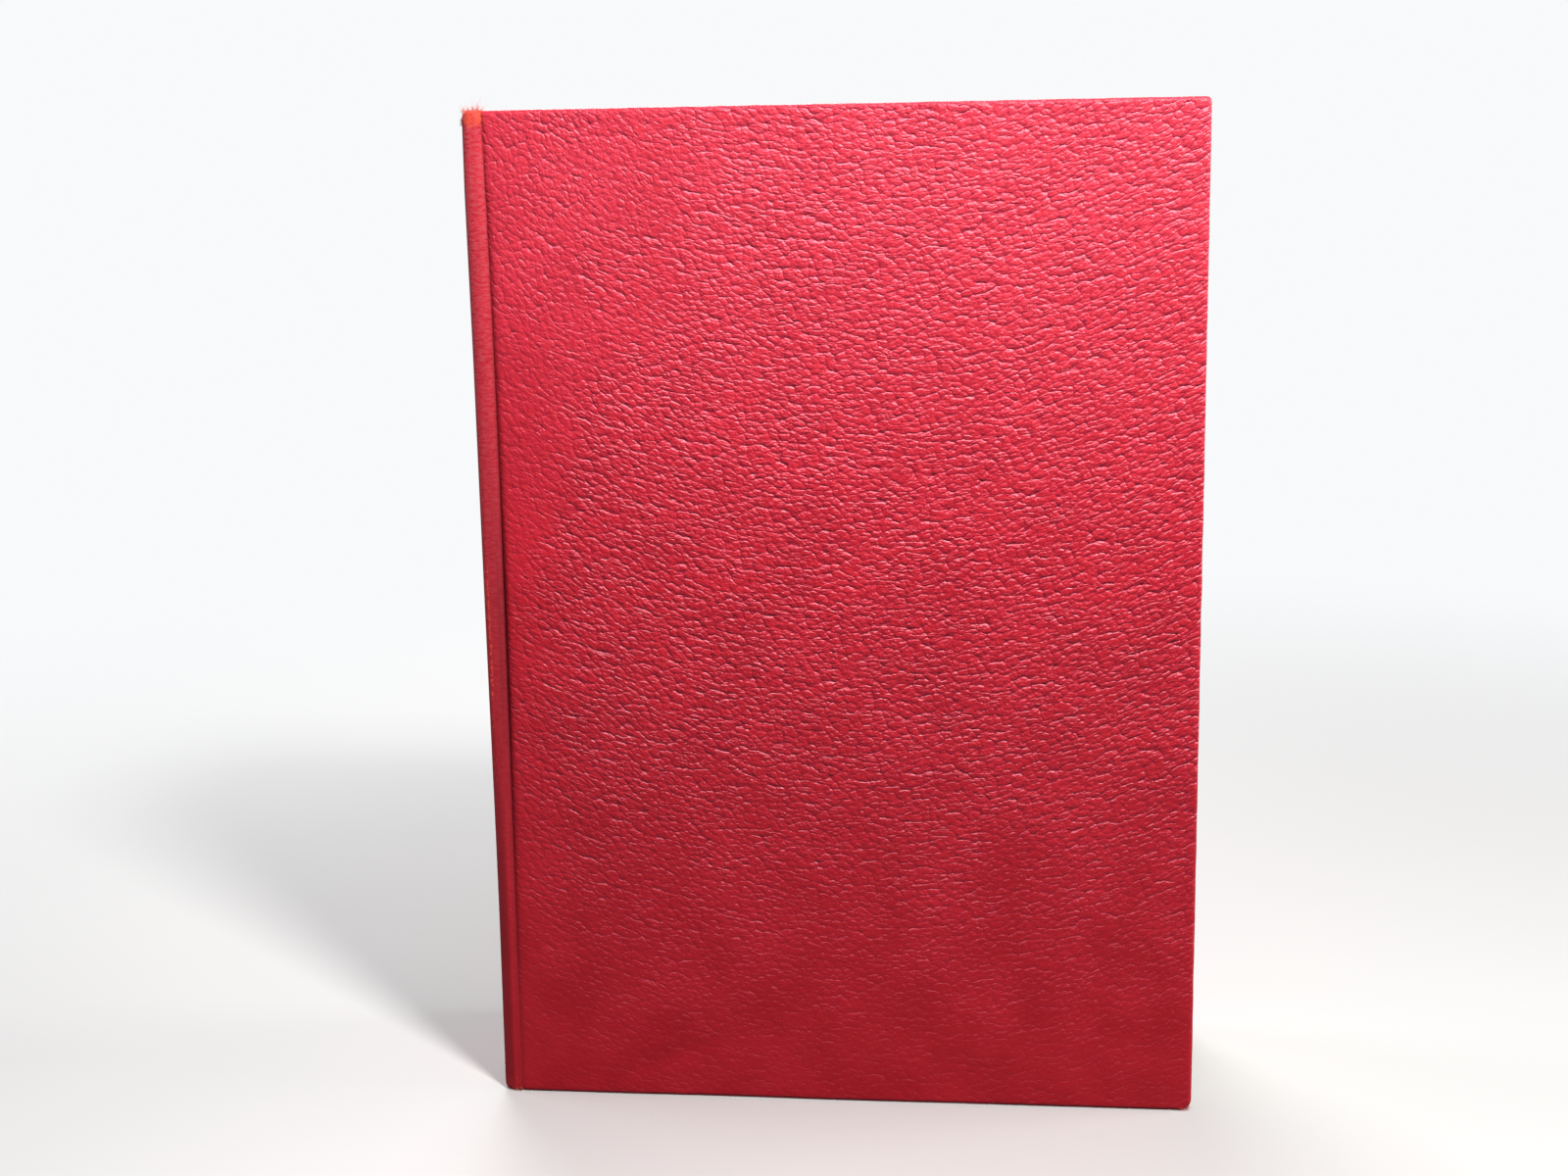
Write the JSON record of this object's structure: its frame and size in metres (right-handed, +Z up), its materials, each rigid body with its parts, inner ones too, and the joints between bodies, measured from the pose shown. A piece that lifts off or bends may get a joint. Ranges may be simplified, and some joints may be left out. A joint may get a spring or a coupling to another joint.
{
  "type": "hardbound book",
  "caption": "Thick hardbound book in plain red grained leather, standing on its tail edge, with hinged covers and leaves that fan open.",
  "frame": {"origin": "middle of the footprint, on the surface that the book stands on", "axes": "+Z up from tail to head, +X from the spine to the fore edge, -Y out of the front cover"},
  "size_m": [0.184, 0.058, 0.26],
  "materials": {
    "cover_leather": "satin",
    "spine_leather": "matte",
    "joint_leather": "matte",
    "board": "matte",
    "infill_card": "matte",
    "mull": "matte",
    "kraft_paper": "matte",
    "endpaper": "matte",
    "leaves": "matte",
    "headband_cloth": "satin",
    "linen_tape": "matte",
    "linen_thread": "matte"
  },
  "bodies": {
    "spine_and_block": {"spine_board": "board", "spine_leather": "spine_leather", "front_joint_leather": "joint_leather", "back_joint_leather": "joint_leather", "spine_mull": "mull", "spine_lining": "kraft_paper", "headband": "headband_cloth", "tailband": "headband_cloth", "sewing_tape_1": "linen_tape", "sewing_tape_2": "linen_tape", "sewing_tape_3": "linen_tape", "sewing_tape_4": "linen_tape", "sewing_thread": "linen_thread", "section_09": "leaves", "section_10": "leaves", "section_11": "leaves", "section_12": "leaves", "section_13": "leaves", "section_14": "leaves", "section_15": "leaves", "section_16": "leaves"},
    "front_cover": {"front_board": "board", "front_cover_leather": "cover_leather", "front_infill": "infill_card", "front_mull_flange": "mull", "front_pastedown": "endpaper"},
    "back_cover": {"back_board": "board", "back_cover_leather": "cover_leather", "back_infill": "infill_card", "back_mull_flange": "mull", "back_pastedown": "endpaper"},
    "front_endleaf": {"front_flyleaf": "endpaper"},
    "back_endleaf": {"back_flyleaf": "endpaper"},
    "section_01_leaves": {"section_01": "leaves"},
    "section_02_leaves": {"section_02": "leaves"},
    "section_03_leaves": {"section_03": "leaves"},
    "section_04_leaves": {"section_04": "leaves"},
    "section_05_leaves": {"section_05": "leaves"},
    "section_06_leaves": {"section_06": "leaves"},
    "section_07_leaves": {"section_07": "leaves"},
    "section_08_leaves": {"section_08": "leaves"},
    "section_24_leaves": {"section_24": "leaves"},
    "section_23_leaves": {"section_23": "leaves"},
    "section_22_leaves": {"section_22": "leaves"},
    "section_21_leaves": {"section_21": "leaves"},
    "section_20_leaves": {"section_20": "leaves"},
    "section_19_leaves": {"section_19": "leaves"},
    "section_18_leaves": {"section_18": "leaves"},
    "section_17_leaves": {"section_17": "leaves"}
  },
  "joints": [
    {"name": "front_cover_hinge", "type": "hinge", "parent": "spine_and_block", "child": "front_cover", "pos_m": [-0.0869, -0.029, 0.13], "axis": [0, 0, -1], "range_deg": [0, 165]},
    {"name": "front_flyleaf_turn", "type": "hinge", "parent": "spine_and_block", "child": "front_endleaf", "pos_m": [-0.0858, -0.02425, 0.13], "axis": [0, 0, -1], "range_deg": [0, 91]},
    {"name": "section_01_turn", "type": "hinge", "parent": "spine_and_block", "child": "section_01_leaves", "pos_m": [-0.0858, -0.02425, 0.13], "axis": [0, 0, -1], "range_deg": [0, 46.5]},
    {"name": "section_02_turn", "type": "hinge", "parent": "spine_and_block", "child": "section_02_leaves", "pos_m": [-0.0858, -0.02425, 0.13], "axis": [0, 0, -1], "range_deg": [0, 40.7]},
    {"name": "section_03_turn", "type": "hinge", "parent": "spine_and_block", "child": "section_03_leaves", "pos_m": [-0.0858, -0.02425, 0.13], "axis": [0, 0, -1], "range_deg": [0, 34.9]},
    {"name": "section_04_turn", "type": "hinge", "parent": "spine_and_block", "child": "section_04_leaves", "pos_m": [-0.0858, -0.02425, 0.13], "axis": [0, 0, -1], "range_deg": [0, 29.2]},
    {"name": "section_05_turn", "type": "hinge", "parent": "spine_and_block", "child": "section_05_leaves", "pos_m": [-0.0858, -0.02425, 0.13], "axis": [0, 0, -1], "range_deg": [0, 23.4]},
    {"name": "section_06_turn", "type": "hinge", "parent": "spine_and_block", "child": "section_06_leaves", "pos_m": [-0.0858, -0.02425, 0.13], "axis": [0, 0, -1], "range_deg": [0, 17.6]},
    {"name": "section_07_turn", "type": "hinge", "parent": "spine_and_block", "child": "section_07_leaves", "pos_m": [-0.0858, -0.02425, 0.13], "axis": [0, 0, -1], "range_deg": [0, 11.9]},
    {"name": "section_08_turn", "type": "hinge", "parent": "spine_and_block", "child": "section_08_leaves", "pos_m": [-0.0858, -0.02425, 0.13], "axis": [0, 0, -1], "range_deg": [0, 6.1]},
    {"name": "back_cover_hinge", "type": "hinge", "parent": "spine_and_block", "child": "back_cover", "pos_m": [-0.0869, 0.029, 0.13], "axis": [0, 0, 1], "range_deg": [0, 165]},
    {"name": "back_flyleaf_turn", "type": "hinge", "parent": "spine_and_block", "child": "back_endleaf", "pos_m": [-0.0858, 0.02425, 0.13], "axis": [0, 0, 1], "range_deg": [0, 91]},
    {"name": "section_24_turn", "type": "hinge", "parent": "spine_and_block", "child": "section_24_leaves", "pos_m": [-0.0858, 0.02425, 0.13], "axis": [0, 0, 1], "range_deg": [0, 46.5]},
    {"name": "section_23_turn", "type": "hinge", "parent": "spine_and_block", "child": "section_23_leaves", "pos_m": [-0.0858, 0.02425, 0.13], "axis": [0, 0, 1], "range_deg": [0, 40.7]},
    {"name": "section_22_turn", "type": "hinge", "parent": "spine_and_block", "child": "section_22_leaves", "pos_m": [-0.0858, 0.02425, 0.13], "axis": [0, 0, 1], "range_deg": [0, 34.9]},
    {"name": "section_21_turn", "type": "hinge", "parent": "spine_and_block", "child": "section_21_leaves", "pos_m": [-0.0858, 0.02425, 0.13], "axis": [0, 0, 1], "range_deg": [0, 29.2]},
    {"name": "section_20_turn", "type": "hinge", "parent": "spine_and_block", "child": "section_20_leaves", "pos_m": [-0.0858, 0.02425, 0.13], "axis": [0, 0, 1], "range_deg": [0, 23.4]},
    {"name": "section_19_turn", "type": "hinge", "parent": "spine_and_block", "child": "section_19_leaves", "pos_m": [-0.0858, 0.02425, 0.13], "axis": [0, 0, 1], "range_deg": [0, 17.6]},
    {"name": "section_18_turn", "type": "hinge", "parent": "spine_and_block", "child": "section_18_leaves", "pos_m": [-0.0858, 0.02425, 0.13], "axis": [0, 0, 1], "range_deg": [0, 11.9]},
    {"name": "section_17_turn", "type": "hinge", "parent": "spine_and_block", "child": "section_17_leaves", "pos_m": [-0.0858, 0.02425, 0.13], "axis": [0, 0, 1], "range_deg": [0, 6.1]}
  ],
  "couplings": [
    {"joint": "front_flyleaf_turn", "follows": "front_cover_hinge", "ratio": 0.55},
    {"joint": "section_01_turn", "follows": "front_cover_hinge", "ratio": 0.28},
    {"joint": "section_02_turn", "follows": "front_cover_hinge", "ratio": 0.245},
    {"joint": "section_03_turn", "follows": "front_cover_hinge", "ratio": 0.21},
    {"joint": "section_04_turn", "follows": "front_cover_hinge", "ratio": 0.175},
    {"joint": "section_05_turn", "follows": "front_cover_hinge", "ratio": 0.14},
    {"joint": "section_06_turn", "follows": "front_cover_hinge", "ratio": 0.105},
    {"joint": "section_07_turn", "follows": "front_cover_hinge", "ratio": 0.07},
    {"joint": "section_08_turn", "follows": "front_cover_hinge", "ratio": 0.035},
    {"joint": "back_flyleaf_turn", "follows": "back_cover_hinge", "ratio": 0.55},
    {"joint": "section_24_turn", "follows": "back_cover_hinge", "ratio": 0.28},
    {"joint": "section_23_turn", "follows": "back_cover_hinge", "ratio": 0.245},
    {"joint": "section_22_turn", "follows": "back_cover_hinge", "ratio": 0.21},
    {"joint": "section_21_turn", "follows": "back_cover_hinge", "ratio": 0.175},
    {"joint": "section_20_turn", "follows": "back_cover_hinge", "ratio": 0.14},
    {"joint": "section_19_turn", "follows": "back_cover_hinge", "ratio": 0.105},
    {"joint": "section_18_turn", "follows": "back_cover_hinge", "ratio": 0.07},
    {"joint": "section_17_turn", "follows": "back_cover_hinge", "ratio": 0.035}
  ]
}
